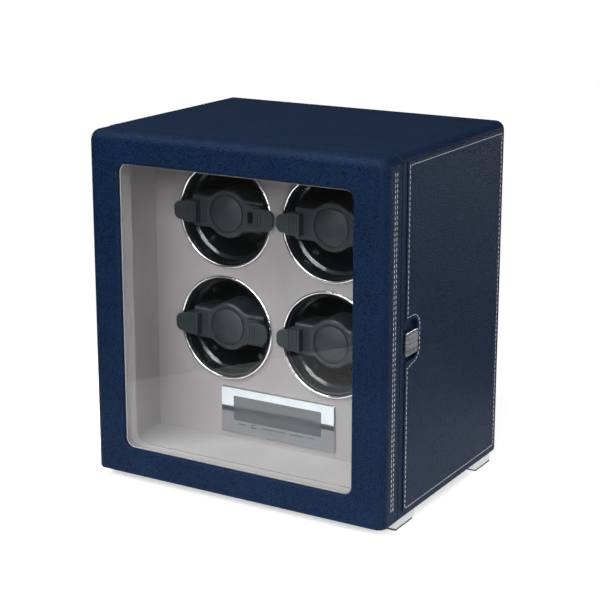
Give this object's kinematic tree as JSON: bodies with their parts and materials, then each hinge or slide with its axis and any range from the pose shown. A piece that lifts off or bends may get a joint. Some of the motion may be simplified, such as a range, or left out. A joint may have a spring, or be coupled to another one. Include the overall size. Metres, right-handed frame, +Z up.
{
  "type": "watch winder box",
  "caption": "Leather-covered watch winder box with a glazed hinged door, push-button latch and motor-driven turntables that hold watches on removable cuffs.",
  "frame": {"origin": "middle of the footprint, on the surface that the rubber pads stand on", "axes": "+X to the right seen from the front, the door faces -Y, +Z up"},
  "size_m": [0.289, 0.222, 0.3105],
  "materials": {
    "navy_leather": "fine-grained leather",
    "grey_suede": "suede-like lining",
    "box_wood": "raw fibreboard",
    "clear_glass": "clear",
    "bright_chrome": "polished",
    "mirror_plate": "mirror polished",
    "display": "dark display window",
    "circuit_board": "solder mask",
    "satin_aluminium": "satin",
    "pad_rubber": "matt",
    "plated_steel": "plated",
    "latch_black": "dark satin",
    "bronze": "plain",
    "cup_plastic": "black, semi-gloss",
    "gear_plastic": "natural",
    "holder_plastic": "dark grey, soft matt",
    "rear_panel": "black, matt",
    "inlet_plastic": "black"
  },
  "bodies": {
    "cabinet": {"cabinet_leather": "navy_leather", "side_panel_left": "navy_leather", "side_panel_right": "navy_leather", "cavity_lining": "grey_suede", "fascia_suede": "grey_suede", "carcass_top_board": "box_wood", "carcass_bottom_board": "box_wood", "carcass_left_board": "box_wood", "carcass_right_board": "box_wood", "fascia_board": "box_wood", "wood_battens": "box_wood", "bezel_rings": "bright_chrome", "control_bezel": "mirror_plate", "lcd_module": "display", "controller_board": "circuit_board", "feet": "satin_aluminium", "foot_pads": "pad_rubber", "drive_plate_screws": "plated_steel", "motor_screws": "plated_steel", "rear_cover_screws": "plated_steel", "foot_screws": "plated_steel", "latch_spring": "plated_steel", "gear_motors": "plated_steel", "drive_plate": "plated_steel", "hinge_cabinet_leaves": "plated_steel", "hinge_pins": "plated_steel", "latch_housing": "latch_black", "spindle_bushes": "bronze", "rear_cover": "rear_panel", "dc_inlet": "inlet_plastic"},
    "door": {"door_core": "box_wood", "door_leather": "navy_leather", "glass_gasket": "pad_rubber", "door_glass": "clear_glass", "glass_retainer": "grey_suede", "door_lining": "grey_suede", "hinge_door_leaves": "plated_steel", "latch_strike": "plated_steel"},
    "latch": {"latch_button": "satin_aluminium", "latch_bolt": "plated_steel"},
    "turntable_top_left": {"cup_top_left": "cup_plastic", "drive_gear_top_left": "gear_plastic"},
    "pinion_top_left": {"motor_pinion_top_left": "gear_plastic"},
    "holder_top_left": {"watch_holder_top_left": "holder_plastic"},
    "clip_top_left": {"holder_clip_top_left": "holder_plastic"},
    "turntable_top_right": {"cup_top_right": "cup_plastic", "drive_gear_top_right": "gear_plastic"},
    "pinion_top_right": {"motor_pinion_top_right": "gear_plastic"},
    "holder_top_right": {"watch_holder_top_right": "holder_plastic"},
    "clip_top_right": {"holder_clip_top_right": "holder_plastic"},
    "turntable_bottom_left": {"cup_bottom_left": "cup_plastic", "drive_gear_bottom_left": "gear_plastic"},
    "pinion_bottom_left": {"motor_pinion_bottom_left": "gear_plastic"},
    "holder_bottom_left": {"watch_holder_bottom_left": "holder_plastic"},
    "clip_bottom_left": {"holder_clip_bottom_left": "holder_plastic"},
    "turntable_bottom_right": {"cup_bottom_right": "cup_plastic", "drive_gear_bottom_right": "gear_plastic"},
    "pinion_bottom_right": {"motor_pinion_bottom_right": "gear_plastic"},
    "holder_bottom_right": {"watch_holder_bottom_right": "holder_plastic"},
    "clip_bottom_right": {"holder_clip_bottom_right": "holder_plastic"}
  },
  "joints": [
    {"name": "door_hinge", "type": "hinge", "parent": "cabinet", "child": "door", "pos_m": [-0.1419, -0.0858, 0.1595], "axis": [0, 0, -1], "range_deg": [0, 110]},
    {"name": "latch_press", "type": "slide", "parent": "cabinet", "child": "latch", "axis": [-1, 0, 0], "range_m": [0, 0.0025], "stiffness_N_per_m": 300, "springref_m": -0.002, "deforming": ["latch_spring"]},
    {"name": "turntable_spin_top_left", "type": "hinge", "parent": "cabinet", "child": "turntable_top_left", "pos_m": [-0.052, 0, 0.233], "axis": [0, 1, 0], "continuous": true},
    {"name": "pinion_spin_top_left", "type": "hinge", "parent": "cabinet", "child": "pinion_top_left", "pos_m": [-0.016, 0, 0.233], "axis": [0, 1, 0], "continuous": true},
    {"name": "holder_slide_top_left", "type": "slide", "parent": "turntable_top_left", "child": "holder_top_left", "axis": [0, -1, 0], "range_m": [0, 0.04]},
    {"name": "clip_slide_top_left", "type": "slide", "parent": "holder_top_left", "child": "clip_top_left", "axis": [1, 0, 0], "range_m": [-0.0065, 0]},
    {"name": "turntable_spin_top_right", "type": "hinge", "parent": "cabinet", "child": "turntable_top_right", "pos_m": [0.052, 0, 0.233], "axis": [0, 1, 0], "continuous": true},
    {"name": "pinion_spin_top_right", "type": "hinge", "parent": "cabinet", "child": "pinion_top_right", "pos_m": [0.016, 0, 0.233], "axis": [0, 1, 0], "continuous": true},
    {"name": "holder_slide_top_right", "type": "slide", "parent": "turntable_top_right", "child": "holder_top_right", "axis": [0, -1, 0], "range_m": [0, 0.04]},
    {"name": "clip_slide_top_right", "type": "slide", "parent": "holder_top_right", "child": "clip_top_right", "axis": [1, 0, 0], "range_m": [0, 0.0065]},
    {"name": "turntable_spin_bottom_left", "type": "hinge", "parent": "cabinet", "child": "turntable_bottom_left", "pos_m": [-0.052, 0, 0.132], "axis": [0, 1, 0], "continuous": true},
    {"name": "pinion_spin_bottom_left", "type": "hinge", "parent": "cabinet", "child": "pinion_bottom_left", "pos_m": [-0.016, 0, 0.132], "axis": [0, 1, 0], "continuous": true},
    {"name": "holder_slide_bottom_left", "type": "slide", "parent": "turntable_bottom_left", "child": "holder_bottom_left", "axis": [0, -1, 0], "range_m": [0, 0.04]},
    {"name": "clip_slide_bottom_left", "type": "slide", "parent": "holder_bottom_left", "child": "clip_bottom_left", "axis": [1, 0, 0], "range_m": [0, 0.0065]},
    {"name": "turntable_spin_bottom_right", "type": "hinge", "parent": "cabinet", "child": "turntable_bottom_right", "pos_m": [0.052, 0, 0.132], "axis": [0, 1, 0], "continuous": true},
    {"name": "pinion_spin_bottom_right", "type": "hinge", "parent": "cabinet", "child": "pinion_bottom_right", "pos_m": [0.016, 0, 0.132], "axis": [0, 1, 0], "continuous": true},
    {"name": "holder_slide_bottom_right", "type": "slide", "parent": "turntable_bottom_right", "child": "holder_bottom_right", "axis": [0, -1, 0], "range_m": [0, 0.04]},
    {"name": "clip_slide_bottom_right", "type": "slide", "parent": "holder_bottom_right", "child": "clip_bottom_right", "axis": [1, 0, 0], "range_m": [0, 0.0065]}
  ],
  "couplings": [
    {"joint": "pinion_spin_top_left", "follows": "turntable_spin_top_left", "ratio": -3},
    {"joint": "pinion_spin_top_right", "follows": "turntable_spin_top_right", "ratio": -3},
    {"joint": "pinion_spin_bottom_left", "follows": "turntable_spin_bottom_left", "ratio": -3},
    {"joint": "pinion_spin_bottom_right", "follows": "turntable_spin_bottom_right", "ratio": -3}
  ]
}
